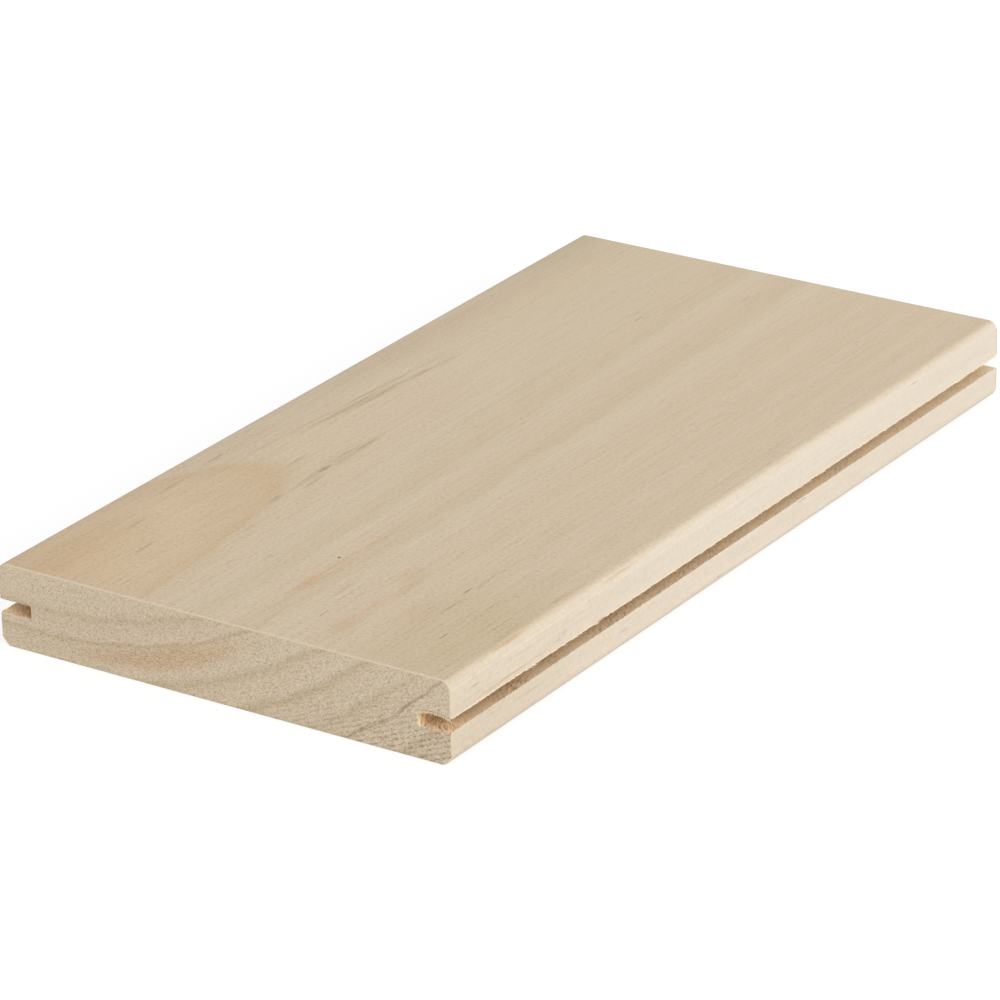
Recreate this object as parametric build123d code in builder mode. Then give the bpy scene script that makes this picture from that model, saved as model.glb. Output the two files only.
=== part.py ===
# A grooved decking board: one plank of planed softwood with a clip groove along each long edge.
#
# X runs across the board, Y along its length and Z up. The origin is in the middle of the
# underside, so the board lies on Z = 0 with its walking face up.
import os

from build123d import *

# The plank, in millimetres
board_width = 145.0
board_thickness = 24.0
board_length = 285.0

# The four long edges are eased: rounded over by the planer, a little more on the underside
top_edge_radius = 2.5
bottom_edge_radius = 3.0

# The grooves that take the hidden clips, one in each long edge
groove_height = 3.8
groove_depth = 10.0
lower_lip = 9.5  # stock left between the underside and the groove
groove_root_radius = 0.5  # left by the rounded tips of the cutter's teeth

# The sawn ends have their sharp arris sanded off
end_arris = 0.4

os.makedirs("parts", exist_ok=True)

with BuildPart() as board:
    # The moulded section, square to the length: the planed blank, its eased edges, the grooves
    with BuildSketch(Plane.XZ) as section:
        Rectangle(board_width, board_thickness, align=(Align.CENTER, Align.MIN))
        fillet(section.vertices().group_by(Axis.Y)[-1], top_edge_radius)
        fillet(section.vertices().group_by(Axis.Y)[0], bottom_edge_radius)

        # The cutter is centred on the edge, so that its inner half cuts the groove
        groove_middle = lower_lip + groove_height / 2
        with Locations((-board_width / 2, groove_middle), (board_width / 2, groove_middle)):
            RectangleRounded(2 * groove_depth, groove_height, groove_root_radius, mode=Mode.SUBTRACT)
    extrude(amount=board_length / 2, both=True)

    # Both ends are sawn square and their outlines lightly sanded
    sawn_ends = board.faces().filter_by(Axis.Y).group_by(Axis.Y)
    chamfer(sawn_ends[0].edges() + sawn_ends[-1].edges(), end_arris)

board.part.label = "decking_board"
export_step(board.part, "parts/decking_board.step")
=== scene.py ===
import bpy
import numpy as np
from mathutils import Matrix, Vector


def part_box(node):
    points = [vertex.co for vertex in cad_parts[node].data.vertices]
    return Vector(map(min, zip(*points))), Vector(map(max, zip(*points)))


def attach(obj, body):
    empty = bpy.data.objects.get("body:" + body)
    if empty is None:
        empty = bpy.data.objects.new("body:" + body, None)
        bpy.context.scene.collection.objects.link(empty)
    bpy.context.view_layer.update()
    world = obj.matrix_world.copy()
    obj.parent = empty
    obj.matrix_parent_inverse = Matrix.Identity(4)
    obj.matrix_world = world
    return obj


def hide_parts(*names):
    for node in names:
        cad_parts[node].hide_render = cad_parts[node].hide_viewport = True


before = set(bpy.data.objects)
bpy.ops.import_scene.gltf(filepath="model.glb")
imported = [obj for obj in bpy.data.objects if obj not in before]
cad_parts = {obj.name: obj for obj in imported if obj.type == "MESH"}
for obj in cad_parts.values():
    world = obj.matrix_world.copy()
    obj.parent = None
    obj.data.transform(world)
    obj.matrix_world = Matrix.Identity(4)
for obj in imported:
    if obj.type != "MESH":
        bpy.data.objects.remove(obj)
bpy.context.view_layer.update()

# The plank is one piece of pale pine, sawn to a short length. A moulder has planed its four faces,
# eased its long edges and cut a clip groove along each side, which leaves the groove's lips a little
# torn. Its lower edges are nearer to a chamfer than to a round.
mm = 0.001
plank_width, plank_thickness, plank_length = 145.0, 24.0, 285.0
walking_edge_radius, left_under_radius, right_under_radius = 2.5, 2.1, 2.6
round_edge, under_flatness = 1.0, 1.48  # 2 would be a straight chamfer
groove_floor, groove_roof, groove_depth, groove_root_radius = 9.5, 13.3, 10.0, 0.5
end_arris, under_arris = 0.4, 0.1

# The section is a lattice: columns across the plank, each with rows from the underside up to the
# groove's floor, from there to its roof, and on up to the walking face. It is close enough to carry
# the relief.
turn_count, lip_count, core_count, station_count = 7, 9, 130, 176
lower_count, root_count, upper_count = 12, 4, 13
side = plank_width / 2
root = side - groove_depth
turn = np.radians(np.linspace(0, 90, turn_count))[1:]
lip_steps = np.linspace(0, 1, lip_count)
inner = root + groove_root_radius


def lip_columns(edge_radius, flatness):
    """X from the groove's root out to the side, with the eased edge in even turns."""
    flat = inner + (side - edge_radius - inner) * lip_steps
    return np.concatenate([[root], flat, side - edge_radius * (1 - np.sin(turn) ** flatness)])


flat_count = 1 + len(lip_steps)
left_x = lip_columns(left_under_radius, under_flatness)
right_x = lip_columns(right_under_radius, under_flatness)
walking_x = lip_columns(walking_edge_radius, round_edge)
under_turn = np.concatenate([np.zeros(flat_count), 1 - np.cos(turn) ** under_flatness])
walking_turn = np.concatenate([np.zeros(flat_count), 1 - np.cos(turn) ** round_edge])
walking_z = plank_thickness - walking_edge_radius * walking_turn
core_x = np.linspace(-root, root, core_count)[1:-1]
under_x = np.concatenate([-left_x[::-1], core_x, right_x])
walking_x = np.concatenate([-walking_x[::-1], core_x, walking_x])
under_z = np.concatenate(
    [left_under_radius * under_turn[::-1], 0 * core_x, right_under_radius * under_turn]
)
walking_z = np.concatenate([walking_z[::-1], plank_thickness + 0 * core_x, walking_z])
lip_x = (under_x + walking_x) / 2

lower, upper = np.linspace(0, 1, lower_count), np.linspace(0, 1, upper_count)
root_low, root_high = groove_floor + groove_root_radius, groove_roof - groove_root_radius
root_rows = np.linspace(root_low, root_high, root_count)
floor_row, roof_row = len(lower) - 1, len(lower) + len(root_rows)
columns, rows = len(lip_x), len(lower) + len(root_rows) + len(upper)
lattice_x, lattice_z = np.zeros((columns, rows)), np.zeros((columns, rows))
lattice_x[:, : floor_row + 1] = under_x[:, None] + (lip_x - under_x)[:, None] * lower
lattice_z[:, : floor_row + 1] = under_z[:, None] + (groove_floor - under_z)[:, None] * lower
lattice_x[:, floor_row + 1 : roof_row] = lip_x[:, None]
lattice_z[:, floor_row + 1 : roof_row] = root_rows
lattice_x[:, roof_row:] = lip_x[:, None] + (walking_x - lip_x)[:, None] * upper
lattice_z[:, roof_row:] = groove_roof + (walking_z - groove_roof)[:, None] * upper

left_root, right_root = flat_count + len(turn) - 1, columns - flat_count - len(turn)
fillet = groove_root_radius * (1 - np.sqrt(0.5))
for column, outward in ((left_root, -1), (right_root, 1)):
    lattice_x[column, [floor_row, roof_row]] += outward * fillet
    lattice_z[column, floor_row] += fillet
    lattice_z[column, roof_row] -= fillet

solid = np.ones((columns - 1, rows - 1), bool)
solid[:left_root, floor_row:roof_row] = False
solid[right_root:, floor_row:roof_row] = False
number = np.arange(columns * rows).reshape(columns, rows)
cells = np.stack([number[:-1, :-1], number[1:, :-1], number[1:, 1:], number[:-1, 1:]], -1)[solid]
used, cells = np.unique(cells, return_inverse=True)
cells = cells.reshape(-1, 4)
section = np.stack([lattice_x.ravel(), lattice_z.ravel()], -1)[used]

# The outline is every cell edge that only one cell has, walked with the wood on its left.
edges = np.concatenate([cells[:, [i, (i + 1) % 4]] for i in range(4)])
ordered = np.sort(edges, 1)
_, back_to, count = np.unique(ordered, axis=0, return_inverse=True, return_counts=True)
outline = edges[count[back_to.ravel()] == 1]
run = section[outline[:, 1]] - section[outline[:, 0]]
inward = np.stack([-run[:, 1], run[:, 0]], -1) / np.linalg.norm(run, axis=1)[:, None]
first, second = np.zeros_like(section), np.zeros_like(section)
first[outline[:, 1]], second[outline[:, 0]] = inward, inward
meeting = 1 + (first * second).sum(1, keepdims=True)
touching = 0.01  # points closer than this are on the same edge
arris = np.where(section[:, 1] < touching, under_arris, end_arris)
inset = section + arris[:, None] * (first + second) / meeting
rim, slots = np.unique(outline, return_inverse=True)
slots = slots.reshape(-1, 2)

# The section is swept along the plank in short steps, with the arris between it and each end.
half_length = plank_length / 2
stations = np.linspace(-half_length + end_arris, half_length - end_arris, station_count)
swept = np.zeros((len(stations), len(rim), 3))
swept[:, :, 0], swept[:, :, 2] = section[rim, 0], section[rim, 1]
swept[:, :, 1] = stations[:, None]
swept[0, :, 1], swept[-1, :, 1] = arris[rim] - half_length, half_length - arris[rim]
ends = [np.insert(inset, 1, y, axis=1) for y in (-half_length, half_length)]
points = np.concatenate([ends[0], swept.reshape(-1, 3), ends[1]])
ring = len(section) + np.arange(len(stations))[:, None] * len(rim)
far = len(points) - len(section)
near_side, far_side = ring[:-1] + slots[:, 0], ring[1:] + slots[:, 0]
near_next, far_next = ring[:-1] + slots[:, 1], ring[1:] + slots[:, 1]
walls = np.stack([near_side, far_side, far_next, near_next], -1).reshape(-1, 4)
a, b = slots[:, 0], slots[:, 1]
near_arris = np.stack([outline[:, 0], ring[0] + a, ring[0] + b, outline[:, 1]], -1)
far_arris = np.stack([ring[-1] + a, far + outline[:, 0], far + outline[:, 1], ring[-1] + b], -1)
faces = np.concatenate([cells, near_arris, walls, far_arris, far + cells[:, ::-1]])

# How each face was cut: 0 planed, 1 sawn across the grain, 2 milled in a groove, 3 sanded arris.
slack = 0.05
middle_x, middle_z = section[outline].mean(1).T
in_groove = (np.abs(middle_x) < side - slack) & (np.abs(middle_x) > root - slack)
in_groove &= (middle_z > groove_floor - slack) & (middle_z < groove_roof + slack)
cut = np.concatenate(
    [
        np.ones(len(cells), int),
        np.where(in_groove, 1, 3),
        np.tile(np.where(in_groove, 2, 0), len(stations) - 1),
        np.where(in_groove, 1, 3),
        np.ones(len(cells), int),
    ]
)

# Where the lips are worn: how far each point of a lip may wander, how many torn fibres hang there,
# which way and how long, and how far they are scattered. The lip over the right groove sags most,
# and its near end is the most ragged.
wander, fray, scatter = np.zeros_like(points), np.zeros_like(points), np.zeros_like(points)
tufts = np.zeros(len(points), int)
x, y, z = points.T
for outward, height, give, hang in (
    (1, groove_roof, (-0.05, 0, -0.28), (-0.10, 2.6, -0.30)),
    (1, groove_floor, (-0.05, 0, -0.10), (-0.10, 1.6, 0.0)),
    (-1, groove_roof, (0.05, 0, 0.60), (0.15, 1.6, -0.15)),
    (-1, groove_floor, (0.05, 0, -0.05), (0.10, 1.4, 0.0)),
):
    lip = (np.abs(x - outward * side) < touching) & (np.abs(z - height) < touching)
    wander[lip], fray[lip], scatter[lip], tufts[lip] = give, hang, (0.12, 0.8, 0.05), 2
for outward, end, hang, count_here in (
    (1, -1, (0.05, -0.10, -0.75), 24),
    (1, 1, (0.05, 0.10, -0.30), 3),
    (-1, -1, (-0.05, -0.08, -0.22), 3),
    (-1, 1, (-0.05, 0.08, -0.20), 3),
):
    torn = np.abs(y - end * (half_length - end_arris)) < touching
    torn &= np.abs(z - groove_roof) < touching
    torn &= (outward * x > inner - 2 * slack) & (outward * x < side - 2 * slack)
    fray[torn], scatter[torn], tufts[torn] = hang, (0.45, 0.20, 0.05), count_here
corner = (np.abs(x - side) < touching) & (np.abs(z - groove_roof) < touching)
corner &= np.abs(y + half_length - end_arris) < touching
fray[corner], scatter[corner], tufts[corner] = (0, -0.05, -1.5), (0.06, 0.08, 0.02), 6

# The cutter tore a shallow hollow out of the right groove's roof where it left the wood, and chipped
# the floor below it. Both die out a few millimetres in, and a few above and below the groove.
hollow_depth, hollow_height, chip_depth, chip_height, torn_reach = 0.75, 5, 0.3, 4, 3.5
lip_share = np.clip((x - inner) / (side - inner), 0, 1)
hollow = hollow_depth * np.sin(np.pi * lip_share**0.8) ** 1.5
hollow *= np.clip(1 - (z - groove_roof) / hollow_height, 0, 1) * (z > groove_roof - touching)
chip = chip_depth * np.sin(np.pi * lip_share**0.6)
chip *= np.clip(1 - (groove_floor - z) / chip_height, 0, 1) * (z < groove_floor + touching)
points[:, 2] += (hollow - chip) * np.exp(-(y + half_length) / torn_reach)

blank = bpy.data.meshes.new("decking_board_wood")
blank.from_pydata((points * mm).tolist(), [], faces.tolist())
for name, kind, domain, field, values in (
    ("cut", "INT", "FACE", "value", cut),
    ("wander", "FLOAT_VECTOR", "POINT", "vector", wander.ravel()),
    ("fray", "FLOAT_VECTOR", "POINT", "vector", fray.ravel()),
    ("scatter", "FLOAT_VECTOR", "POINT", "vector", scatter.ravel()),
    ("tufts", "INT", "POINT", "value", tufts),
):
    blank.attributes.new(name, kind, domain).data.foreach_set(field, values)
plank = bpy.data.objects.new("decking_board_wood", blank)
bpy.context.scene.collection.objects.link(plank)


def add(tree, kind, inputs=None, **settings):
    """Adds a node with its settings, and sets or links its inputs by name or number.
    A node given as an input stands for its first output in use."""
    node = tree.nodes.new(kind)
    for name, value in settings.items():
        setattr(node, name, value)
    for key, value in (inputs or {}).items():
        named = [s for s in node.inputs if s.name == key and s.enabled]
        socket = named[0] if named else node.inputs[key]
        if isinstance(value, bpy.types.Node):
            value = next(s for s in value.outputs if s.enabled)
        if isinstance(value, bpy.types.NodeSocket):
            tree.links.new(value, socket)
        else:
            socket.default_value = value
    return node


def linear(colour):
    """The linear colour of an sRGB hex value."""
    parts = [int(colour[i : i + 2], 16) / 255 for i in (1, 3, 5)]
    return [c / 12.92 if c <= 0.04045 else ((c + 0.055) / 1.055) ** 2.4 for c in parts] + [1]


def new_wood(name, ior, roughness):
    """A material for one way of working the wood, with its tree, its shader and how it grew."""
    material = bpy.data.materials.new(name)
    material.use_nodes = True
    shader = material.node_tree.nodes["Principled BSDF"]
    shader.inputs["IOR"].default_value = ior
    shader.inputs["Roughness"].default_value = roughness
    growth = add(material.node_tree, "ShaderNodeGroup", node_tree=pine_growth)
    return material, material.node_tree, shader, growth


def paint_rings(ramp, stops):
    """Sets a colour ramp from ring radii in millimetres and hex colours."""
    elements = ramp.color_ramp.elements
    elements.remove(elements[1])
    for i, (ring_radius, colour) in enumerate(sorted(stops)):
        along_ramp = (ring_radius - ring_start) / ring_span
        element = elements[0] if i == 0 else elements.new(along_ramp)
        element.position = along_ramp
        element.color = linear(colour)


# How the tree grew. The board was cut below the heart, which runs 140 mm above the walking face at
# the near end and drifts across and away towards the far end, so every face shows the same growth
# rings. Each row gives where the heart starts, how far it drifts and how much of that it loses.
pine_growth = bpy.data.node_groups.new("pine_growth", "ShaderNodeTree")
ring_start, ring_span, mean_ring = 132.0, 90.0, 165.0
here = add(pine_growth, "ShaderNodeTexCoord")
place = add(
    pine_growth, "ShaderNodeVectorMath", {0: here.outputs["Object"], "Scale": 1 / mm}, operation="SCALE"
)
parts = add(pine_growth, "ShaderNodeSeparateXYZ", {0: place})
along = add(
    pine_growth,
    "ShaderNodeMath",
    {0: parts.outputs["Y"], 1: 1 / plank_length, 2: 0.5},
    operation="MULTIPLY_ADD",
)
heart = []
for start, drift, loss in ((-60.2, 45.0, -20.0), (163.6, 16.0, -7.0)):
    drift = add(pine_growth, "ShaderNodeMath", {0: along, 1: loss, 2: drift}, operation="MULTIPLY_ADD")
    heart.append(
        add(pine_growth, "ShaderNodeMath", {0: along, 1: drift, 2: start}, operation="MULTIPLY_ADD")
    )
heart_x, heart_z = heart
across = add(pine_growth, "ShaderNodeMath", {0: parts.outputs["X"], 1: heart_x}, operation="SUBTRACT")
below = add(pine_growth, "ShaderNodeMath", {0: heart_z, 1: parts.outputs["Z"]}, operation="SUBTRACT")
from_heart = add(pine_growth, "ShaderNodeCombineXYZ", {0: across, 1: below})
radius = add(pine_growth, "ShaderNodeVectorMath", {0: from_heart}, operation="LENGTH").outputs["Value"]
for size, reach in (((30, 150, 30), 0.7), ((1.6, 30, 1.6), 0.35)):
    stretched = add(
        pine_growth, "ShaderNodeVectorMath", {0: place, 1: [1 / s for s in size]}, operation="MULTIPLY"
    )
    noise = add(pine_growth, "ShaderNodeTexNoise", {"Vector": stretched, "Scale": 1.0, "Detail": 1.0})
    centred = add(pine_growth, "ShaderNodeMath", {0: noise, 1: 0.5}, operation="SUBTRACT")
    radius = add(
        pine_growth, "ShaderNodeMath", {0: centred, 1: reach, 2: radius}, operation="MULTIPLY_ADD"
    )

# The outer rings stand closer together towards the far end.
crowded_from, crowded_by = 150.5, 0.6
outer = add(pine_growth, "ShaderNodeMath", {0: radius, 1: crowded_from}, operation="SUBTRACT")
outer = add(pine_growth, "ShaderNodeMath", {0: outer, 1: 0.0}, operation="MAXIMUM")
crowding = add(pine_growth, "ShaderNodeMath", {0: along, 1: crowded_by}, operation="MULTIPLY")
radius = add(pine_growth, "ShaderNodeMath", {0: outer, 1: crowding, 2: radius}, operation="MULTIPLY_ADD")
ring_place = add(
    pine_growth,
    "ShaderNodeMapRange",
    {"Value": radius, "From Min": ring_start, "From Max": ring_start + ring_span},
)
angle = add(pine_growth, "ShaderNodeMath", {0: across, 1: below}, operation="ARCTAN2")
around = add(pine_growth, "ShaderNodeMath", {0: angle, 1: mean_ring}, operation="MULTIPLY")

# Fibres are bundles about 0.9 mm wide and some 14 mm long. Resin canals are finer than a pixel and
# are drawn about 0.3 mm wide, so that they show as the short dark dashes that pine has.
fibre_size, canal_spacing = (0.9, 14, 0.9), (2.7, 32, 2.7)
stretched = add(
    pine_growth,
    "ShaderNodeVectorMath",
    {0: place, 1: [1 / s for s in fibre_size]},
    operation="MULTIPLY",
)
fibre = add(pine_growth, "ShaderNodeTexNoise", {"Vector": stretched, "Scale": 1.0, "Detail": 3.0})
stretched = add(
    pine_growth,
    "ShaderNodeVectorMath",
    {0: place, 1: [1 / s for s in canal_spacing]},
    operation="MULTIPLY",
)
canals = add(pine_growth, "ShaderNodeTexVoronoi", {"Vector": stretched, "Scale": 1.0})
off_canal = canals.outputs["Distance"]
canal = add(
    pine_growth,
    "ShaderNodeMapRange",
    {"Value": off_canal, "From Min": 0.03, "From Max": 0.11, "To Min": 1.0, "To Max": 0.0},
    interpolation_type="SMOOTHSTEP",
)
depths = add(pine_growth, "ShaderNodeSeparateXYZ", {0: canals.outputs["Color"]})
canal = add(pine_growth, "ShaderNodeMath", {0: canal, 1: depths.outputs["X"]}, operation="MULTIPLY")
grown = {"Along": along, "Ring": ring_place, "Around": around, "Fibre": fibre, "Canal": canal}
for name in grown:
    pine_growth.interface.new_socket(name=name, in_out="OUTPUT", socket_type="NodeSocketFloat")
pine_growth.interface.new_socket(name="Place", in_out="OUTPUT", socket_type="NodeSocketVector")
add(pine_growth, "NodeGroupOutput", grown | {"Place": place})

# Planed pine: smooth, dry and silky, pale straw with soft bands where the rings come up through
# the face, warm brown where the cut comes nearest the heart, and fine dark dashes along the grain.
planed_pine, tree, shader, growth = new_wood("planed_pine", ior=1.47, roughness=0.58)
straw, latewood, earlywood = "#CCB99E", "#C5B192", "#D0BEA4"
ring_stops = [
    (138.8, "#C7AB85"),
    (140.4, "#CAB08E"),
    (142.2, "#CCB596"),
    (143.5, "#CAB191"),
    (144.0, "#C6AC8A"),
    (144.25, "#CBB89C"),
    (146.5, "#CDBBA1"),
]
for ring_radius, weight, fade in (
    (150.5, 0.5, 0.7),
    (157.0, 0.6, 1.6),
    (168.0, 0.15, 2.0),
    (177.0, 0.25, 2.0),
    (186.0, 0.3, 2.0),
    (192.0, 0.3, 1.0),
    (201.0, 0.3, 1.5),
    (210.0, 0.3, 1.5),
):
    for offset, tone in ((-4.0, straw), (-0.3, latewood), (fade, earlywood)):
        mixed = "#" + "".join(
            "%02X" % round(int(straw[i : i + 2], 16) * (1 - weight) + int(tone[i : i + 2], 16) * weight)
            for i in (1, 3, 5)
        )
        ring_stops.append((ring_radius + offset, mixed))
bands = add(tree, "ShaderNodeValToRGB", {0: growth.outputs["Ring"]})
paint_rings(bands, ring_stops)

# The sides are painted paler and greyer than the walking face, a painted sheen where the light falls on
# them, most towards the far end.
facing = add(tree, "ShaderNodeNewGeometry")
sideways = add(tree, "ShaderNodeSeparateXYZ", {0: facing.outputs["Normal"]})
edgewise = add(tree, "ShaderNodeMath", {0: sideways.outputs["X"]}, operation="ABSOLUTE")
side_sheen_share = add(
    tree, "ShaderNodeMapRange", {"Value": edgewise, "From Min": 0.15, "From Max": 1.0, "To Max": 0.75}
)
farther = add(tree, "ShaderNodeMapRange", {"Value": growth.outputs["Along"], "From Max": 0.5})
painted_side_sheen = add(
    tree,
    "ShaderNodeMix",
    {0: farther, 6: linear("#CCBFAD"), 7: linear("#D3C9BC")},
    data_type="RGBA",
)
wood = add(tree, "ShaderNodeMix", {0: side_sheen_share, 6: bands, 7: painted_side_sheen}, data_type="RGBA")

# Two pale lines along each side, both painted highlights: the broken fibres on the lip over the groove
# catching the light, and a faint ridge that the knives left where the eased edge begins, which dies out
# towards the far end.
spot = add(tree, "ShaderNodeSeparateXYZ", {0: growth.outputs["Place"]})
ridge_highlight_fade = add(
    tree,
    "ShaderNodeMapRange",
    {"Value": spot.outputs["Y"], "From Min": 0.0, "From Max": 70.0, "To Min": 0.45, "To Max": 0.0},
)
for line_z, line_half, colour, strength in (
    (groove_roof + 0.1, 0.5, "#E3CEB0", 0.75),
    (plank_thickness - walking_edge_radius - 0.25, 0.4, "#E2D4BF", ridge_highlight_fade),
):
    off_line = add(tree, "ShaderNodeMath", {0: spot.outputs["Z"], 1: line_z}, operation="SUBTRACT")
    off_line = add(tree, "ShaderNodeMath", {0: off_line}, operation="ABSOLUTE")
    shown = add(
        tree,
        "ShaderNodeMapRange",
        {"Value": off_line, "From Max": line_half, "To Min": strength, "To Max": 0.0},
        interpolation_type="SMOOTHSTEP",
    )
    shown = add(tree, "ShaderNodeMath", {0: shown, 1: edgewise}, operation="MULTIPLY")
    wood = add(tree, "ShaderNodeMix", {0: shown, 6: wood, 7: linear(colour)}, data_type="RGBA")

# Marks of this board. On the walking face: resin streaks and their thin tails, short dashes around
# the warm tongue, redder streaks and soft rust spots near the right, wide stains, a greyer left edge
# and one black speck. Then browner dashes that the planer bared on the eased edge at the near right
# and on the lips below it, with two faint stains on the lower lip. Each gives its middle, its turn
# in degrees, half its width and length, its colour and how strongly it shows. Fibres break the long
# thin ones up.
threads = add(
    tree,
    "ShaderNodeMapRange",
    {"Value": growth.outputs["Fibre"], "From Min": 0.35, "From Max": 0.6, "To Min": 0.25, "To Max": 1.0},
)
top = plank_thickness
level = add(
    tree,
    "ShaderNodeMapRange",
    {"Value": edgewise, "From Min": 0.2, "From Max": 0.9, "To Min": 1.0, "To Max": 0.0},
)
for mark_x, mark_y, mark_z, mark_turn, half_width, half_long, colour, strength in (
    (-52.0, 6.0, top, -4.6, 2.2, 46.0, "#9C7B56", 0.5),
    (-55.1, 2.5, top, -3.7, 0.9, 56.0, "#A07F5A", 0.4),
    (-33.8, -37.0, top, 1.5, 2.8, 26.0, "#9C7854", 0.5),
    (-34.1, -54.0, top, 6.5, 1.0, 18.0, "#9C7854", 0.4),
    (-33.9, -46.7, top, 2.0, 1.2, 4.0, "#9A6B52", 0.55),
    (-31.2, -55.6, top, 4.0, 0.8, 8.0, "#8F7556", 0.5),
    (-33.2, -71.0, top, 3.0, 1.3, 6.5, "#987A5A", 0.5),
    (-28.0, -90.1, top, 0.0, 0.8, 4.0, "#A08560", 0.35),
    (-44.5, -115.4, top, 2.0, 0.7, 7.0, "#9C7953", 0.5),
    (-56.2, -102.5, top, 2.0, 0.7, 8.0, "#9C7953", 0.4),
    (-63.3, -76.0, top, 1.0, 1.2, 10.0, "#9C7953", 0.4),
    (-46.4, -66.1, top, 3.0, 0.9, 4.5, "#A5825C", 0.4),
    (-64.4, -55.7, top, 1.0, 0.8, 6.0, "#988063", 0.4),
    (-57.7, -44.9, top, -1.0, 0.8, 12.0, "#A5825C", 0.45),
    (-44.1, -43.8, top, 3.0, 0.9, 6.0, "#988063", 0.4),
    (6.9, -98.0, top, 0.5, 2.2, 44.0, "#C49B73", 0.45),
    (30.5, -112.0, top, 0.5, 2.4, 34.0, "#C49B73", 0.45),
    (27.0, -94.2, top, 0.0, 5.0, 9.0, "#C49B73", 0.2),
    (28.8, -126.7, top, 0.0, 5.0, 9.0, "#C49B73", 0.25),
    (42.1, -111.7, top, 0.0, 5.0, 9.0, "#C49B73", 0.2),
    (6.6, -109.3, top, 0.0, 3.5, 8.0, "#C49B73", 0.3),
    (-61.0, -124.0, top, 0.0, 14.0, 38.0, "#C09C76", 0.3),
    (60.0, -118.0, top, 0.0, 30.0, 54.0, "#BFA985", 0.42),
    (-73.0, 0.0, top, 0.0, 19.0, 1000.0, "#B8A48A", 0.28),
    (-74.0, 50.0, top, 0.0, 26.0, 140.0, "#B8A48A", 0.17),
    (-74.0, 150.0, top, 0.0, 22.0, 90.0, "#B8A48A", 0.5),
    (4.1, -93.7, top, 0.0, 0.55, 0.75, "#2E241A", 1.0),
    (71.4, -114.0, 23.6, 0.4, 0.9, 12.0, "#B98E66", 0.65),
    (69.0, -90.0, 23.9, 0.3, 0.7, 13.0, "#BC946C", 0.5),
    (72.0, -60.0, 22.9, 0.0, 0.6, 15.0, "#BC946C", 0.45),
    (side, -112.0, 14.8, 0.0, 0.4, 26.0, "#B08A64", 0.6),
    (side, -128.0, 14.3, 0.0, 0.35, 15.0, "#B58C64", 0.5),
    (side, -118.0, 6.5, 0.0, 7.0, 42.0, "#B9A488", 0.17),
    (side, 60.0, 4.5, 0.0, 7.0, 180.0, "#C0A98A", 0.08),
    (side, -129.0, 7.4, 0.0, 0.4, 14.0, "#A59078", 0.5),
    (side, -106.0, 6.6, 0.0, 0.35, 7.0, "#9F8A70", 0.5),
):
    mark_place = add(
        tree,
        "ShaderNodeMapping",
        {
            "Vector": growth.outputs["Place"],
            "Location": (mark_x, mark_y, mark_z),
            "Rotation": (0, 0, np.radians(mark_turn)),
            "Scale": (half_width, half_long, half_width),
        },
        vector_type="TEXTURE",
    )
    reach = add(tree, "ShaderNodeVectorMath", {0: mark_place}, operation="LENGTH").outputs["Value"]
    shown = add(
        tree,
        "ShaderNodeMapRange",
        {"Value": reach, "From Min": 0.2, "From Max": 1.0, "To Min": strength, "To Max": 0.0},
        interpolation_type="SMOOTHSTEP",
    )
    if half_long > half_width * 4 and half_width < 5:
        shown = add(tree, "ShaderNodeMath", {0: shown, 1: threads}, operation="MULTIPLY")
    if mark_z == top:
        shown = add(tree, "ShaderNodeMath", {0: shown, 1: level}, operation="MULTIPLY")
    wood = add(tree, "ShaderNodeMix", {0: shown, 6: wood, 7: linear(colour)}, data_type="RGBA")

# The fibres, the short nap between them and long faint streaks tint the wood, a little more where
# the plank is near. Their darks are bent to be deeper than their brights, as dips in wood are.
silk_depth, dark_bend = 0.27, 4.0
tints = []
for tint_size, detail, depth in (((1.0, 1.1, 1.0), 1.0, 0.38), ((0.9, 70, 0.9), 2.0, 0.10)):
    stretched = add(
        tree,
        "ShaderNodeVectorMath",
        {0: growth.outputs["Place"], 1: [1 / s for s in tint_size]},
        operation="MULTIPLY",
    )
    tint = add(tree, "ShaderNodeTexNoise", {"Vector": stretched, "Scale": 1.0, "Detail": detail})
    tints.append(
        add(tree, "ShaderNodeMath", {0: tint, 1: -depth, 2: depth / 2}, operation="MULTIPLY_ADD")
    )
nap, streaks = tints
silk = add(
    tree,
    "ShaderNodeMath",
    {0: growth.outputs["Fibre"], 1: -silk_depth, 2: silk_depth / 2},
    operation="MULTIPLY_ADD",
)
grain = add(tree, "ShaderNodeMath", {0: nap, 1: silk}, operation="ADD")
reach = add(
    tree, "ShaderNodeMapRange", {"Value": growth.outputs["Along"], "To Min": 0.88, "To Max": 0.45}
)
grain = add(tree, "ShaderNodeMath", {0: grain, 1: reach}, operation="MULTIPLY")
quiet = add(tree, "ShaderNodeMath", {0: side_sheen_share, 1: -0.55, 2: 1.0}, operation="MULTIPLY_ADD")
grain = add(tree, "ShaderNodeMath", {0: grain, 1: quiet}, operation="MULTIPLY")
grain = add(tree, "ShaderNodeMath", {0: grain, 1: streaks}, operation="ADD")
sunk = add(tree, "ShaderNodeMath", {0: grain, 1: grain}, operation="MULTIPLY")
grain = add(tree, "ShaderNodeMath", {0: sunk, 1: -dark_bend, 2: grain}, operation="MULTIPLY_ADD")
tint = add(
    tree,
    "ShaderNodeVectorMath",
    {0: grain, 1: (1.0, 1.2, 1.5), 2: (1.004, 1.008, 0.994)},
    operation="MULTIPLY_ADD",
)
wood = add(tree, "ShaderNodeVectorMath", {0: wood, 1: tint}, operation="MULTIPLY")
shade = add(
    tree, "ShaderNodeMapRange", {"Value": growth.outputs["Along"], "To Min": 0.99, "To Max": 1.03}
)
wood = add(tree, "ShaderNodeVectorMath", {0: wood, "Scale": shade}, operation="SCALE")

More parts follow.
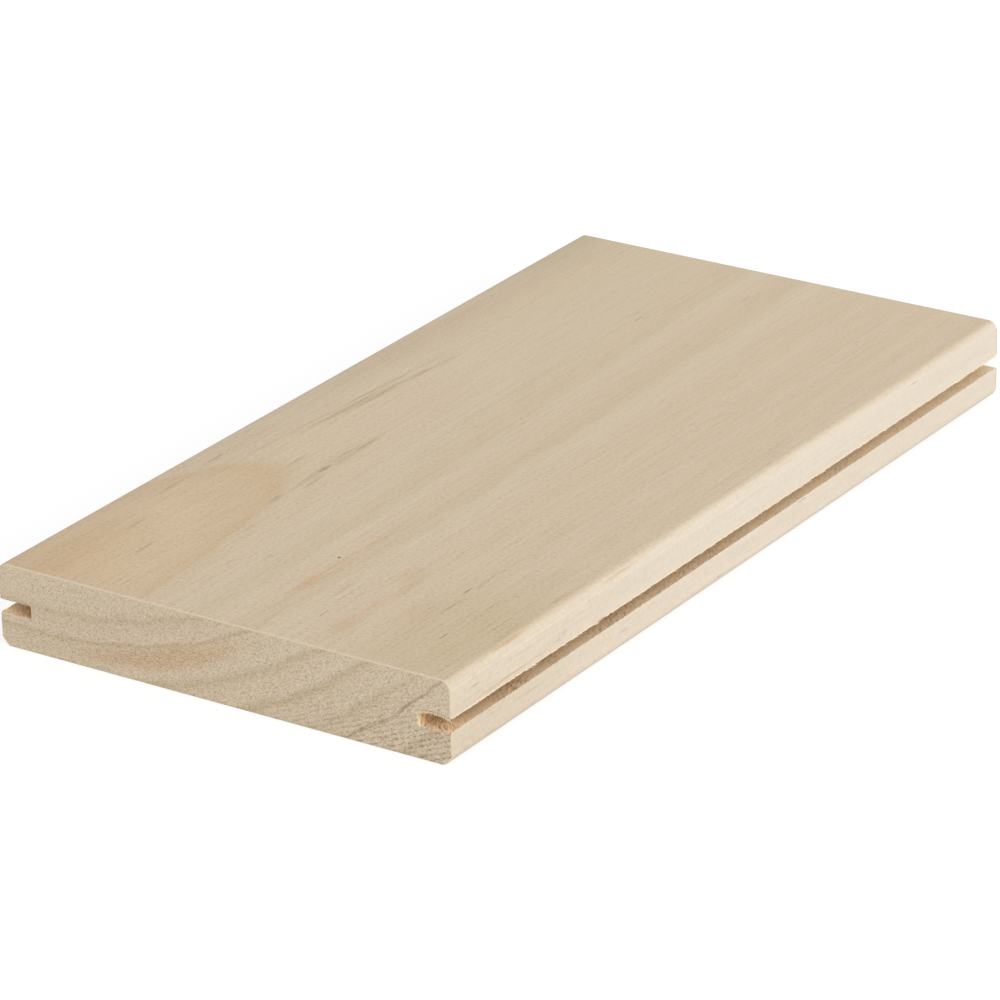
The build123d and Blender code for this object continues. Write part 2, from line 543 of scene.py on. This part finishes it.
# The resin canals show as dark dashes, rustier and stronger towards the near right.
rusty_middle, rusty_size = (40, -122, top), (48, 80, 48)
rusty_place = add(
    tree,
    "ShaderNodeMapping",
    {"Vector": growth.outputs["Place"], "Location": rusty_middle, "Scale": rusty_size},
    vector_type="TEXTURE",
)
rusty = add(tree, "ShaderNodeVectorMath", {0: rusty_place}, operation="LENGTH").outputs["Value"]
rusty = add(
    tree,
    "ShaderNodeMapRange",
    {"Value": rusty, "From Min": 0.3, "From Max": 1.0, "To Min": 1.0, "To Max": 0.0},
    interpolation_type="SMOOTHSTEP",
)
rusty = add(tree, "ShaderNodeMath", {0: rusty, 1: level}, operation="MULTIPLY")
resin = add(
    tree, "ShaderNodeMix", {0: rusty, 6: linear("#967C5C"), 7: linear("#A4754A")}, data_type="RGBA"
)
dash = add(tree, "ShaderNodeMapRange", {"Value": rusty, "To Min": 0.65, "To Max": 1.3})
dash = add(tree, "ShaderNodeMath", {0: growth.outputs["Canal"], 1: dash}, operation="MULTIPLY")
wood = add(tree, "ShaderNodeMix", {0: dash, 6: wood, 7: resin}, data_type="RGBA")

# Between them, at the near right, the planer opened hairlines along the grain, about 0.5 mm wide.
hairline_spacing = (1.7, 46, 1.7)
stretched = add(
    tree,
    "ShaderNodeVectorMath",
    {0: growth.outputs["Place"], 1: [1 / s for s in hairline_spacing]},
    operation="MULTIPLY",
)
hairlines = add(tree, "ShaderNodeTexVoronoi", {"Vector": stretched, "Scale": 1.0})
off_hairline = hairlines.outputs["Distance"]
hairline = add(
    tree,
    "ShaderNodeMapRange",
    {"Value": off_hairline, "From Min": 0.05, "From Max": 0.2, "To Min": 0.6, "To Max": 0.0},
    interpolation_type="SMOOTHSTEP",
)
hairline = add(tree, "ShaderNodeMath", {0: hairline, 1: rusty}, operation="MULTIPLY")
wood = add(tree, "ShaderNodeMix", {0: hairline, 6: wood, 7: linear("#9F7C57")}, data_type="RGBA")

tree.links.new(wood.outputs[2], shader.inputs["Base Color"])
ridges = add(
    tree, "ShaderNodeBump", {"Height": growth.outputs["Fibre"], "Strength": 0.25, "Distance": 0.05 * mm}
)
tree.links.new(ridges.outputs[0], shader.inputs["Normal"])

# Sawn end grain: dull and greyer, with the cell ends torn into fine dark specks that lie in rows
# along each ring, and darker bands where the soft wood of a new year tore most.
sawn_pine, tree, shader, growth = new_wood("sawn_pine_end_grain", ior=1.45, roughness=0.85)

# The saw tore the rings, so that their bands waver by a millimetre or so.
waver_size, waver_reach = (13, 50, 7), 2.6
stretched = add(
    tree,
    "ShaderNodeVectorMath",
    {0: growth.outputs["Place"], 1: [1 / s for s in waver_size]},
    operation="MULTIPLY",
)
waver = add(tree, "ShaderNodeTexNoise", {"Vector": stretched, "Scale": 1.0, "Detail": 2.0})
waver = add(tree, "ShaderNodeMath", {0: waver, 1: 0.5}, operation="SUBTRACT")
torn_ring = add(
    tree,
    "ShaderNodeMath",
    {0: waver, 1: waver_reach / ring_span, 2: growth.outputs["Ring"]},
    operation="MULTIPLY_ADD",
)
bands = add(tree, "ShaderNodeValToRGB", {0: torn_ring})
end_stops = [(138.0, "#D3C2A8")]
for ring_radius, firm, torn, soft, swell, fade in (
    (150.0, "#D2C0A6", "#C8B598", "#CFBDA2", 1.5, 1.5),
    (157.0, "#D3C1A7", "#C2AE8F", "#CFBDA1", 1.0, 0.8),
    (168.0, "#D4C3A9", "#C7B497", "#D1BFA4", 2.2, 1.8),
    (177.0, "#D5C4AA", "#C6B294", "#D1BFA4", 2.2, 1.8),
    (186.0, "#D5C4AA", "#CAB79A", "#D2C0A5", 2.0, 1.8),
    (201.0, "#D5C4AA", "#C7B395", "#D1BFA4", 1.2, 1.0),
    (210.0, "#D5C4AA", "#C7B395", "#D1BFA4", 1.2, 1.0),
):
    end_stops += [(ring_radius - swell, firm), (ring_radius, torn), (ring_radius + fade, soft)]
paint_rings(bands, end_stops)

# One ring holds more resin for part of its way round and shows as a browner patch.
patch_middle, patch_size = (160.4, 43.0, 0), (4.2, 38.0, 1.0)
ring_mm = add(
    tree, "ShaderNodeMath", {0: torn_ring, 1: ring_span, 2: ring_start}, operation="MULTIPLY_ADD"
)
around_heart = add(tree, "ShaderNodeCombineXYZ", {0: ring_mm, 1: growth.outputs["Around"]})
patch_place = add(
    tree,
    "ShaderNodeMapping",
    {"Vector": around_heart, "Location": patch_middle, "Scale": patch_size},
    vector_type="TEXTURE",
)
patch_reach = add(tree, "ShaderNodeVectorMath", {0: patch_place}, operation="LENGTH").outputs["Value"]
resin = add(
    tree,
    "ShaderNodeMapRange",
    {"Value": patch_reach, "From Min": 0.3, "From Max": 1.0, "To Min": 0.7, "To Max": 0.0},
    interpolation_type="SMOOTHSTEP",
)

# The torn cell ends: fine specks everywhere, and darker dashes along the rings, deepest at the lower
# right, where the saw came out. Sizes are across the ring, around it and along the board.
spot = add(tree, "ShaderNodeSeparateXYZ", {0: growth.outputs["Place"]})
ring_spot = add(
    tree, "ShaderNodeCombineXYZ", {0: ring_mm, 1: growth.outputs["Around"], 2: spot.outputs["Y"]}
)
grains = []
for torn_size in ((0.25, 0.55, 3.0), (0.34, 1.9, 3.0)):
    speck_place = add(
        tree,
        "ShaderNodeVectorMath",
        {0: ring_spot, 1: [1 / s for s in torn_size]},
        operation="MULTIPLY",
    )
    grains.append(add(tree, "ShaderNodeTexNoise", {"Vector": speck_place, "Scale": 1.0, "Detail": 1.0}))
specks, dashes = grains
mottle = add(
    tree,
    "ShaderNodeMapRange",
    {"Value": dashes, "From Min": 0.35, "From Max": 0.6, "To Min": 0.5, "To Max": 1.2},
)
resin = add(tree, "ShaderNodeMath", {0: resin, 1: mottle}, operation="MULTIPLY")
wood = add(tree, "ShaderNodeMix", {0: resin, 6: bands, 7: linear("#C7A681")}, data_type="RGBA")

# One ring stands out as a dark line, broken and a little weaker towards the walking face.
dark_ring = 191.6
off_line = add(tree, "ShaderNodeMath", {0: ring_mm, 1: dark_ring}, operation="SUBTRACT")
off_line = add(tree, "ShaderNodeMath", {0: off_line}, operation="ABSOLUTE")
line = add(
    tree,
    "ShaderNodeMapRange",
    {"Value": off_line, "From Min": 0.1, "From Max": 0.85, "To Min": 0.58, "To Max": 0.0},
    interpolation_type="SMOOTHSTEP",
)
line = add(tree, "ShaderNodeMath", {0: line, 1: mottle}, operation="MULTIPLY")
upwards = add(
    tree,
    "ShaderNodeMapRange",
    {"Value": spot.outputs["Z"], "From Min": 14.0, "From Max": 23.0, "To Min": 1.0, "To Max": 0.8},
)
line = add(tree, "ShaderNodeMath", {0: line, 1: upwards}, operation="MULTIPLY")
wood = add(tree, "ShaderNodeMix", {0: line, 6: wood, 7: linear("#A0876A")}, data_type="RGBA")
speck_middle, dark_bend = 0.515, 1.8
speck = add(tree, "ShaderNodeMath", {0: specks, 1: -1.0, 2: speck_middle}, operation="MULTIPLY_ADD")
sunk = add(tree, "ShaderNodeMath", {0: speck, 1: speck}, operation="MULTIPLY")
speck = add(tree, "ShaderNodeMath", {0: sunk, 1: -dark_bend, 2: speck}, operation="MULTIPLY_ADD")
tint = add(
    tree,
    "ShaderNodeVectorMath",
    {0: speck, 1: (1.0, 1.1, 1.3), 2: (1.0, 1.0, 1.0)},
    operation="MULTIPLY_ADD",
)
wood = add(tree, "ShaderNodeVectorMath", {0: wood, 1: tint}, operation="MULTIPLY")
towards_right = add(
    tree,
    "ShaderNodeMapRange",
    {"Value": spot.outputs["X"], "From Min": 0.0, "From Max": 66.0, "To Min": 0.3, "To Max": 1.0},
)
downwards = add(
    tree,
    "ShaderNodeMapRange",
    {"Value": spot.outputs["Z"], "From Min": 20.0, "From Max": 6.0, "To Min": 0.35, "To Max": 1.0},
)
torn_here = add(tree, "ShaderNodeMath", {0: towards_right, 1: downwards}, operation="MULTIPLY")
dash = add(
    tree,
    "ShaderNodeMapRange",
    {"Value": dashes, "From Min": 0.52, "From Max": 0.70, "To Min": 0.0, "To Max": 0.22},
)
dash = add(tree, "ShaderNodeMath", {0: dash, 1: torn_here}, operation="MULTIPLY")
wood = add(tree, "ShaderNodeMix", {0: dash, 6: wood, 7: linear("#7F6B4E")}, data_type="RGBA")

# There the saw's teeth also left rows of short tears, which climb to the right less than the rings
# do. A Wave texture repeats every pi / 10 at a scale of 1.
tear_lean, tear_spacing, tear_size, tear_strength = 22, 1.4, (0.9, 3, 0.5), 0.62
leaning = {"Vector": growth.outputs["Place"], "Rotation": (0, -np.radians(tear_lean), 0)}
row_place = add(tree, "ShaderNodeMapping", leaning, vector_type="TEXTURE")
torn_rows = add(
    tree,
    "ShaderNodeTexWave",
    {"Vector": row_place, "Scale": np.pi / 10 / tear_spacing, "Distortion": 1.2, "Detail": 1.0},
    bands_direction="Z",
)
torn_rows = add(
    tree, "ShaderNodeMapRange", {"Value": torn_rows.outputs["Fac"], "From Min": 0.3, "From Max": 0.9}
)
tear_place = add(tree, "ShaderNodeMapping", leaning | {"Scale": tear_size}, vector_type="TEXTURE")
tears = add(tree, "ShaderNodeTexNoise", {"Vector": tear_place, "Scale": 1.0, "Detail": 1.0})
tears = add(
    tree,
    "ShaderNodeMapRange",
    {"Value": tears, "From Min": 0.42, "From Max": 0.6, "To Max": tear_strength},
)
torn_rows = add(tree, "ShaderNodeMath", {0: torn_rows, 1: tears}, operation="MULTIPLY")
torn_here = add(tree, "ShaderNodeMath", {0: torn_here, 1: 2.0}, operation="POWER")
torn_rows = add(tree, "ShaderNodeMath", {0: torn_rows, 1: torn_here}, operation="MULTIPLY")
wood = add(tree, "ShaderNodeMix", {0: torn_rows, 6: wood, 7: linear("#7F6B4E")}, data_type="RGBA")
tree.links.new(wood.outputs[2], shader.inputs["Base Color"])
pits = add(
    tree, "ShaderNodeBump", {"Height": specks, "Strength": 0.5, "Distance": 0.12 * mm}, invert=True
)
tree.links.new(pits.outputs[0], shader.inputs["Normal"])

# Milled groove: the cutter has scuffed the wood, so it is rougher than the planed faces, and its colour
# is warmer, with feathery tooth marks across it that come and go, painted shade deeper in the groove,
# and fresh pale wood where the cutter came out, painted paler still where light reaches in from the open
# near end.
milled_pine, tree, shader, growth = new_wood("milled_pine_groove", ior=1.45, roughness=0.75)
spot = add(tree, "ShaderNodeSeparateXYZ", {0: growth.outputs["Place"]})
tooth_size, tooth_lean, scuff_size, lit_reach = (2.2, 0.6, 3.0), -56, (30, 11, 30), 12.0
stretched = add(
    tree,
    "ShaderNodeMapping",
    {"Vector": growth.outputs["Place"], "Rotation": (0, 0, np.radians(tooth_lean)), "Scale": tooth_size},
    vector_type="TEXTURE",
)
marks = add(
    tree,
    "ShaderNodeTexNoise",
    {"Vector": stretched, "Scale": 1.0, "Detail": 2.0, "Roughness": 0.6, "Distortion": 0.3},
)
tooth = add(
    tree,
    "ShaderNodeMapRange",
    {"Value": marks, "From Min": 0.42, "From Max": 0.72, "To Min": 0.0, "To Max": 1.0},
)
patches = add(
    tree,
    "ShaderNodeVectorMath",
    {0: growth.outputs["Place"], 1: [1 / s for s in scuff_size]},
    operation="MULTIPLY",
)
patches = add(tree, "ShaderNodeTexNoise", {"Vector": patches, "Scale": 1.0, "Detail": 2.0})
patches = add(
    tree,
    "ShaderNodeMapRange",
    {"Value": patches, "From Min": 0.35, "From Max": 0.6, "To Min": 0.2, "To Max": 1.0},
)
tooth = add(tree, "ShaderNodeMath", {0: tooth, 1: patches}, operation="MULTIPLY")
fading = add(
    tree, "ShaderNodeMapRange", {"Value": growth.outputs["Along"], "To Min": 1.0, "To Max": 0.4}
)
tooth = add(tree, "ShaderNodeMath", {0: tooth, 1: fading}, operation="MULTIPLY")
clean = add(
    tree,
    "ShaderNodeMix",
    {0: growth.outputs["Along"], 6: linear("#DCC4A2"), 7: linear("#EAD6B8")},
    data_type="RGBA",
)
# Painted shade: the wood is painted darker deeper in the groove, away from the side, less so towards the
# far end.
outward = add(tree, "ShaderNodeMath", {0: spot.outputs["X"]}, operation="ABSOLUTE")
painted_groove_shade = add(
    tree,
    "ShaderNodeMapRange",
    {"Value": outward, "From Min": side - 1.5, "From Max": side - 5.0, "To Min": 0.0, "To Max": 0.6},
)
painted_groove_shade = add(tree, "ShaderNodeMath", {0: painted_groove_shade, 1: fading}, operation="MULTIPLY")
wood = add(tree, "ShaderNodeMix", {0: painted_groove_shade, 6: clean, 7: linear("#AF8E66")}, data_type="RGBA")
# Painted light: the first millimetres of the groove at the near end are painted pale, partly fresh wood
# where the cutter came out and partly light reaching in from the open end.
fresh_and_lit = add(
    tree,
    "ShaderNodeMapRange",
    {
        "Value": spot.outputs["Y"],
        "From Min": -half_length,
        "From Max": -half_length + lit_reach,
        "To Min": 0.95,
        "To Max": 0.0,
    },
)
wood = add(tree, "ShaderNodeMix", {0: fresh_and_lit, 6: wood, 7: linear("#F8DAB2")}, data_type="RGBA")
wood = add(tree, "ShaderNodeMix", {0: tooth, 6: wood, 7: linear("#A07A4C")}, data_type="RGBA")
tree.links.new(wood.outputs[2], shader.inputs["Base Color"])
scuff = add(tree, "ShaderNodeBump", {"Height": marks, "Strength": 0.45, "Distance": 0.15 * mm})
tree.links.new(scuff.outputs[0], shader.inputs["Normal"])

# Sanded arris: fresh wood, fuzzy along the fibres, painted a shade paler than the faces beside it as a
# painted highlight along the arris.
sanded_pine, tree, shader, growth = new_wood("sanded_pine_arris", ior=1.45, roughness=0.8)
wood = add(
    tree,
    "ShaderNodeMix",
    {0: growth.outputs["Fibre"], 6: linear("#DCCCB3"), 7: linear("#CAB89C")},
    data_type="RGBA",
)
tree.links.new(wood.outputs[2], shader.inputs["Base Color"])

# Torn fibre: fresh wood from under the surface, pale and dry, so the slivers stand out.
torn_pine = bpy.data.materials.new("torn_pine_fibre")
torn_pine.use_nodes = True
shader = torn_pine.node_tree.nodes["Principled BSDF"]
shader.inputs["Base Color"].default_value = linear("#EBD6B8")
shader.inputs["IOR"].default_value = 1.45
shader.inputs["Roughness"].default_value = 0.8


def shape_plank(name, **inputs):
    """A Geometry Nodes tree on the plank, with its named inputs set, and the node that gives them."""
    tree = bpy.data.node_groups.new(name, "GeometryNodeTree")
    for in_out in ("INPUT", "OUTPUT"):
        tree.interface.new_socket(name="Geometry", in_out=in_out, socket_type="NodeSocketGeometry")
    values = {}
    for label, value in inputs.items():
        kind = "NodeSocketInt" if isinstance(value, int) else "NodeSocketFloat"
        socket = tree.interface.new_socket(name=label, in_out="INPUT", socket_type=kind)
        values[socket.identifier] = value
    modifier = plank.modifiers.new(name, "NODES")
    modifier.node_group = tree
    for identifier, value in values.items():
        modifier[identifier] = value
    return tree, add(tree, "NodeGroupInput")


# The surface's own relief: soft wood planed a few hundredths lower between the harder rings, saw
# marks on the ends, and lips that wander where the cutter pulled at them. The noises of the three
# have their sizes in millimetres.
relief, given = shape_plank("plank_relief", Raised_grain=0.03, Saw_marks=0.10, Lip_wander=1.0)
position = add(relief, "GeometryNodeInputPosition")
place = add(relief, "ShaderNodeVectorMath", {0: position, "Scale": 1 / mm}, operation="SCALE")
end_facing = 0.9
noises = []
for noise_size, detail in (((4, 60, 4), 2.0), ((2.2, 50, 9), 2.0), ((9, 3, 9), 3.0)):
    stretched = add(
        relief, "ShaderNodeVectorMath", {0: place, 1: [1 / s for s in noise_size]}, operation="MULTIPLY"
    )
    noises.append(
        add(relief, "ShaderNodeTexNoise", {"Vector": stretched, "Scale": 1.0, "Detail": detail})
    )
grain, saw, lip_noise = noises
normal = add(relief, "GeometryNodeInputNormal")
facing = add(relief, "ShaderNodeSeparateXYZ", {0: normal})
endwise = add(relief, "ShaderNodeMath", {0: facing.outputs["Y"]}, operation="ABSOLUTE")
is_end = add(relief, "ShaderNodeMath", {0: endwise, 1: end_facing}, operation="GREATER_THAN")
planed_depth = add(
    relief, "ShaderNodeMath", {0: grain, 1: given.outputs["Raised_grain"]}, operation="MULTIPLY"
)
sawn_depth = add(relief, "ShaderNodeMath", {0: saw, 1: given.outputs["Saw_marks"]}, operation="MULTIPLY")
depth = add(relief, "ShaderNodeMix", {0: is_end, 2: planed_depth, 3: sawn_depth}, data_type="FLOAT")
lowered = add(relief, "ShaderNodeMath", {0: depth, 1: -mm}, operation="MULTIPLY")
sunk = add(relief, "ShaderNodeVectorMath", {0: normal, "Scale": lowered}, operation="SCALE")
lip_give = add(
    relief, "ShaderNodeMath", {0: lip_noise, 1: given.outputs["Lip_wander"]}, operation="MULTIPLY"
)
lip_reach = add(relief, "ShaderNodeMath", {0: lip_give, 1: mm}, operation="MULTIPLY")
wandering = add(relief, "GeometryNodeInputNamedAttribute", {"Name": "wander"}, data_type="FLOAT_VECTOR")
pulled = add(relief, "ShaderNodeVectorMath", {0: wandering, "Scale": lip_reach}, operation="SCALE")
moved = add(relief, "ShaderNodeVectorMath", {0: sunk, 1: pulled}, operation="ADD")
shape = add(relief, "GeometryNodeSetPosition", {"Geometry": given.outputs["Geometry"], "Offset": moved})
shape = add(relief, "GeometryNodeRealizeInstances", {0: shape})
how_cut = add(relief, "GeometryNodeInputNamedAttribute", {"Name": "cut"}, data_type="INT")
for kind, material in enumerate((planed_pine, sawn_pine, milled_pine, sanded_pine)):
    chosen = add(
        relief, "FunctionNodeCompare", {"A": how_cut, "B": kind}, data_type="INT", operation="EQUAL"
    )
    shape = add(
        relief, "GeometryNodeSetMaterial", {"Geometry": shape, "Selection": chosen, "Material": material}
    )
add(relief, "NodeGroupOutput", {"Geometry": shape})

# Torn fibres: slivers of wood that the cutter lifted along the grooves' lips and left hanging, each
# a tapered splinter about 0.2 mm thick.
splinters, given = shape_plank("torn_fibres", Thickness=0.13, Spread=0.16, Kept=0.6, Seed=7)
shortest = 0.01
hanging = add(splinters, "GeometryNodeInputNamedAttribute", {"Name": "fray"}, data_type="FLOAT_VECTOR")
hang_length = add(splinters, "ShaderNodeVectorMath", {0: hanging}, operation="LENGTH").outputs["Value"]
frayed = add(
    splinters,
    "FunctionNodeCompare",
    {"A": hang_length, "B": shortest},
    data_type="FLOAT",
    operation="GREATER_THAN",
)
spots = add(
    splinters, "GeometryNodeMeshToPoints", {"Mesh": given.outputs["Geometry"], "Selection": frayed}
)
tuft_count = add(splinters, "GeometryNodeInputNamedAttribute", {"Name": "tufts"}, data_type="INT")
spots = add(
    splinters,
    "GeometryNodeDuplicateElements",
    {"Geometry": spots, "Amount": tuft_count},
    domain="POINT",
)
shift = add(
    splinters,
    "FunctionNodeRandomValue",
    {"Min": (-mm, -mm, 0.2 * mm), "Max": (mm, mm, 1.6 * mm), "Seed": given.outputs["Seed"]},
    data_type="FLOAT_VECTOR",
)
scattered = add(
    splinters, "GeometryNodeInputNamedAttribute", {"Name": "scatter"}, data_type="FLOAT_VECTOR"
)
shift = add(splinters, "ShaderNodeVectorMath", {0: shift, 1: scattered}, operation="MULTIPLY")
spots = add(splinters, "GeometryNodeSetPosition", {"Geometry": spots, "Offset": shift})
lost = add(splinters, "ShaderNodeMath", {0: 1.0, 1: given.outputs["Kept"]}, operation="SUBTRACT")
dropped = add(
    splinters,
    "FunctionNodeRandomValue",
    {"Probability": lost, "Seed": given.outputs["Seed"]},
    data_type="BOOLEAN",
)
spots = add(
    splinters, "GeometryNodeDeleteGeometry", {"Geometry": spots, "Selection": dropped}, domain="POINT"
)
stray = add(
    splinters,
    "FunctionNodeRandomValue",
    {"Min": (-1, -1, -1), "Max": (1, 1, 1), "Seed": given.outputs["Seed"]},
    data_type="FLOAT_VECTOR",
)
stray = add(
    splinters, "ShaderNodeVectorMath", {0: stray, "Scale": given.outputs["Spread"]}, operation="SCALE"
)
heading = add(splinters, "ShaderNodeVectorMath", {0: hanging}, operation="NORMALIZE")
heading = add(splinters, "ShaderNodeVectorMath", {0: heading, 1: stray}, operation="ADD")
lie = add(splinters, "FunctionNodeAlignRotationToVector", {"Vector": heading}, axis="Z")
vary = add(
    splinters,
    "FunctionNodeRandomValue",
    {"Min": 0.35, "Max": 1.2, "Seed": given.outputs["Seed"]},
    data_type="FLOAT",
)
long = add(splinters, "ShaderNodeMath", {0: hang_length, 1: vary}, operation="MULTIPLY")
thick = given.outputs["Thickness"]
girth = add(splinters, "ShaderNodeCombineXYZ", {0: thick, 1: thick, 2: long})
size = add(splinters, "ShaderNodeVectorMath", {0: girth, "Scale": mm}, operation="SCALE")
sliver = add(
    splinters,
    "GeometryNodeMeshCone",
    {"Vertices": 5, "Radius Top": 0.1, "Radius Bottom": 1.0, "Depth": 1.0},
    fill_type="TRIANGLE_FAN",
)
hung = add(
    splinters,
    "GeometryNodeInstanceOnPoints",
    {"Points": spots, "Instance": sliver, "Rotation": lie, "Scale": size},
)
hung = add(splinters, "GeometryNodeRealizeInstances", {0: hung})
hung = add(splinters, "GeometryNodeSetMaterial", {"Geometry": hung, "Material": torn_pine})
joined = add(splinters, "GeometryNodeJoinGeometry", {0: given.outputs["Geometry"]})
splinters.links.new(hung.outputs[0], joined.inputs[0])
add(splinters, "NodeGroupOutput", {"Geometry": joined})

# Both trees become one plain mesh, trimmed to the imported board's own size.
ready = plank.evaluated_get(bpy.context.evaluated_depsgraph_get())
wood_mesh = bpy.data.meshes.new_from_object(ready)
plank.modifiers.clear()
plank.data = wood_mesh
wood_mesh.name = "decking_board_wood"
low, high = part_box("decking_board")
place = np.zeros(len(wood_mesh.vertices) * 3, np.float32)
wood_mesh.vertices.foreach_get("co", place)
place = np.clip(place.reshape(-1, 3), np.array(low), np.array(high))
wood_mesh.vertices.foreach_set("co", place.ravel())
sharp_from = 35
wood_mesh.shade_smooth()
wood_mesh.set_sharp_from_angle(angle=np.radians(sharp_from))
wood_mesh.update()
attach(plank, "root")
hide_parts("decking_board")

# The studio has a white sheet under the board, lit by one large soft lamp to its right and by white
# walls, with the board's shadow on the sheet. Its sizes are in metres.
floor_mesh = bpy.data.meshes.new("studio_floor")
reach, floor_z = 4.0, -0.0002
corners = ((-reach, -reach), (reach, -reach), (reach, reach), (-reach, reach))
floor_mesh.from_pydata([(*corner, floor_z) for corner in corners], [], [(0, 1, 2, 3)])
floor = bpy.data.objects.new("studio_floor", floor_mesh)
bpy.context.scene.collection.objects.link(floor)


def seen_directly(tree):
    """1 for what the camera sees, straight or through a reflection or glass, and 0 for light."""
    rays = add(tree, "ShaderNodeLightPath").outputs
    seen = {0: rays["Is Camera Ray"], 1: rays["Is Glossy Ray"]}
    seen = {0: add(tree, "ShaderNodeMath", seen, operation="MAXIMUM"), 1: rays["Is Transmission Ray"]}
    return add(tree, "ShaderNodeMath", seen, operation="MAXIMUM")


# Matt white paper: it glows a little for the camera alone, so that it stays white there and keeps
# only a faint shadow. It can't be seen from below.
paper = bpy.data.materials.new("matt_white_paper")
paper.use_nodes = True
tree = paper.node_tree
tree.nodes.remove(tree.nodes["Principled BSDF"])
lit = add(tree, "ShaderNodeBsdfDiffuse", {"Color": linear("#E6E6E6")})
faint = add(tree, "ShaderNodeBsdfDiffuse", {"Color": linear("#8C8C8C")})
glow = add(tree, "ShaderNodeEmission", {"Color": (1, 1, 1, 1), "Strength": 0.78})
white = add(tree, "ShaderNodeAddShader", {0: faint, 1: glow})
sheet = add(tree, "ShaderNodeMixShader", {0: seen_directly(tree), 1: lit, 2: white})
around = add(tree, "ShaderNodeNewGeometry")
clear = add(tree, "ShaderNodeBsdfTransparent")
sheet = add(tree, "ShaderNodeMixShader", {0: around.outputs["Backfacing"], 1: sheet, 2: clear})
tree.links.new(sheet.outputs[0], tree.nodes["Material Output"].inputs["Surface"])
floor_mesh.materials.append(paper)

world = bpy.data.worlds.new("white_walls")
world.use_nodes = True
bpy.context.scene.world = world
tree = world.node_tree
walls_light = {"To Min": 0.7, "To Max": 1.0}
level = add(tree, "ShaderNodeMapRange", {"Value": seen_directly(tree)} | walls_light)
tree.links.new(level.outputs[0], tree.nodes["Background"].inputs["Strength"])
tree.nodes["Background"].inputs["Color"].default_value = (1, 1, 1, 1)

lamp_data = bpy.data.lights.new("soft_lamp", "AREA")
lamp_data.shape = "SQUARE"
lamp_data.size = 1.8
lamp_data.energy = 98.0
lamp = bpy.data.objects.new("soft_lamp", lamp_data)
bpy.context.scene.collection.objects.link(lamp)
lamp_towards, lamp_distance = Vector((0.84, -0.30, 0.45)), 4.0
lamp_from = lamp_towards.normalized() * lamp_distance
lamp_turn = lamp_from.to_track_quat("Z", "Y").to_matrix().to_4x4()
lamp.matrix_world = Matrix.Translation(lamp_from) @ lamp_turn

# The camera has a long lens and stands where the photograph's stood: at the near right, a little
# above the board. It aims at the board's middle and is then shifted sideways and up, in millimetres.
azimuth, elevation, roll = np.radians((34.2545, 23.4595, -1.5232))
camera_distance, camera_right, camera_up = 1508.91, -6.1224, -6.8457
focal_pixels, picture_pixels, sensor_width = 5396.99, 1000, 36.0
flat = np.cos(elevation)
back = Vector((np.sin(azimuth) * flat, -np.cos(azimuth) * flat, np.sin(elevation)))
level_right = Vector((0, 0, 1)).cross(back).normalized()
level_up = back.cross(level_right)
right = level_right * np.cos(roll) + level_up * np.sin(roll)
up = -level_right * np.sin(roll) + level_up * np.cos(roll)
eye = Vector((0, 0, plank_thickness / 2)) + back * camera_distance
eye += right * camera_right + up * camera_up
camera_data = bpy.data.cameras.new("camera")
camera_data.sensor_width = sensor_width
camera_data.lens = focal_pixels / picture_pixels * sensor_width
camera = bpy.data.objects.new("camera", camera_data)
bpy.context.scene.collection.objects.link(camera)
turned = Matrix((right, up, back)).transposed().to_4x4()
camera.matrix_world = Matrix.Translation(eye * mm) @ turned
bpy.context.scene.camera = camera
bpy.context.scene.view_settings.view_transform = "Standard"
